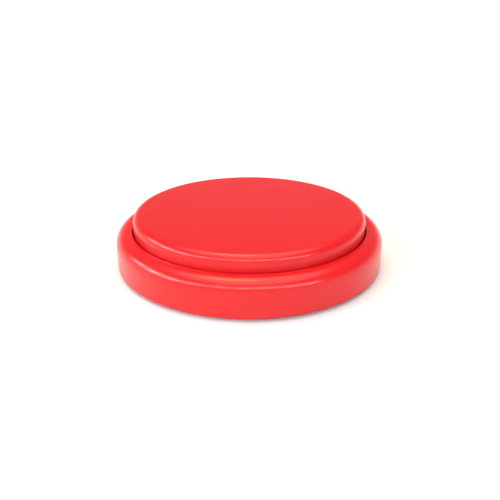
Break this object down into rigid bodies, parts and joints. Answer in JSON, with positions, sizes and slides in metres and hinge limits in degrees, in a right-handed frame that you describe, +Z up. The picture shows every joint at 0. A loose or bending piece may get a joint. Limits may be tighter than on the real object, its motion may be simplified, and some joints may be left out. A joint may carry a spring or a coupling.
{
  "type": "quiz buzzer",
  "caption": "Low round table-top answer buzzer: a wide flat push cap in a rounded base ring, with a switch, sound board, speaker and battery bay inside.",
  "frame": {"origin": "on the table plane, under the middle of the round base", "axes": "+Z up out of the push cap, front towards -Y, battery bay in the front half"},
  "size_m": [0.1, 0.1, 0.0201],
  "materials": {
    "red_plastic": "satin moulded ABS, all outer mouldings",
    "foot_rubber": "soft black elastomer",
    "screw_steel": "zinc-plated",
    "spring_steel": "bright drawn wire",
    "contact_plate": "nickel-plated spring steel",
    "cell_jacket": "printed film over a steel can, left plain",
    "board_laminate": "solder mask over laminate",
    "switch_case": "glass-filled moulding",
    "lever_steel": "stamped stainless strip",
    "plunger_plastic": "moulded acetal",
    "chip_epoxy": "epoxy blob",
    "capacitor_sleeve": "shrink sleeve",
    "resistor_body": "chip resistors",
    "gasket_foam": "closed-cell foam",
    "basket_steel": "pressed and plated",
    "cone_paper": "black pressed paper",
    "magnet_ferrite": "plated ferrite",
    "clamp_plastic": "white moulding",
    "terminal_laminate": "phenolic paper laminate",
    "power_case": "tinned steel case",
    "knob_plastic": "moulded knob",
    "lead_red": "PVC insulation",
    "lead_black": "PVC insulation",
    "lead_white": "PVC insulation"
  },
  "bodies": {
    "base": {"base_housing": "red_plastic", "battery_bridge_contact": "contact_plate", "battery_cell_1": "cell_jacket", "battery_cell_2": "cell_jacket", "battery_lead_black": "lead_black", "battery_lead_red": "lead_red", "battery_plate_contact": "contact_plate", "battery_spring_contact": "contact_plate", "board_screws": "screw_steel", "bottom_cover": "red_plastic", "capacitor": "capacitor_sleeve", "circuit_board": "board_laminate", "cover_screws": "screw_steel", "microswitch_body": "switch_case", "power_switch_body": "power_case", "resistors": "resistor_body", "return_spring_1": "spring_steel", "return_spring_2": "spring_steel", "return_spring_3": "spring_steel", "return_spring_4": "spring_steel", "rubber_foot_1": "foot_rubber", "rubber_foot_2": "foot_rubber", "rubber_foot_3": "foot_rubber", "rubber_foot_4": "foot_rubber", "sound_chip": "chip_epoxy", "speaker_basket": "basket_steel", "speaker_clamp": "clamp_plastic", "speaker_cone": "cone_paper", "speaker_gasket": "gasket_foam", "speaker_lead_1": "lead_white", "speaker_lead_2": "lead_white", "speaker_magnet": "magnet_ferrite", "speaker_screws": "screw_steel", "speaker_terminal_board": "terminal_laminate", "switch_lead_1": "lead_red", "switch_lead_2": "lead_red"},
    "cap": {"button_cap": "red_plastic"},
    "door": {"battery_door": "red_plastic", "battery_door_screw": "screw_steel"},
    "switch_lever": {"microswitch_lever": "lever_steel"},
    "switch_plunger": {"microswitch_plunger": "plunger_plastic"},
    "power_knob": {"power_switch_knob": "knob_plastic"}
  },
  "joints": [
    {"name": "cap_press", "type": "slide", "parent": "base", "child": "cap", "axis": [0, 0, -1], "range_m": [0, 0.0025], "stiffness_N_per_m": 1200, "springref_m": -0.0015, "deforming": ["return_spring_1", "return_spring_2", "return_spring_3", "return_spring_4"]},
    {"name": "lever_swing", "type": "hinge", "parent": "base", "child": "switch_lever", "pos_m": [0.0032, 0, 0.0135], "axis": [0, 1, 0], "range_deg": [0, 14.4]},
    {"name": "plunger_press", "type": "slide", "parent": "base", "child": "switch_plunger", "axis": [0, 0, -1], "range_m": [0, 0.00081]},
    {"name": "door_open", "type": "hinge", "parent": "base", "child": "door", "pos_m": [0.02442, -0.01705, 0.00178], "axis": [0, -1, 0], "range_deg": [0, 60]},
    {"name": "power_slide", "type": "slide", "parent": "base", "child": "power_knob", "axis": [0, 1, 0], "range_m": [0, 0.002]}
  ],
  "couplings": [
    {"joint": "lever_swing", "follows": "cap_press", "rad_per_m": 99.833},
    {"joint": "plunger_press", "follows": "cap_press", "ratio": 0.32}
  ]
}
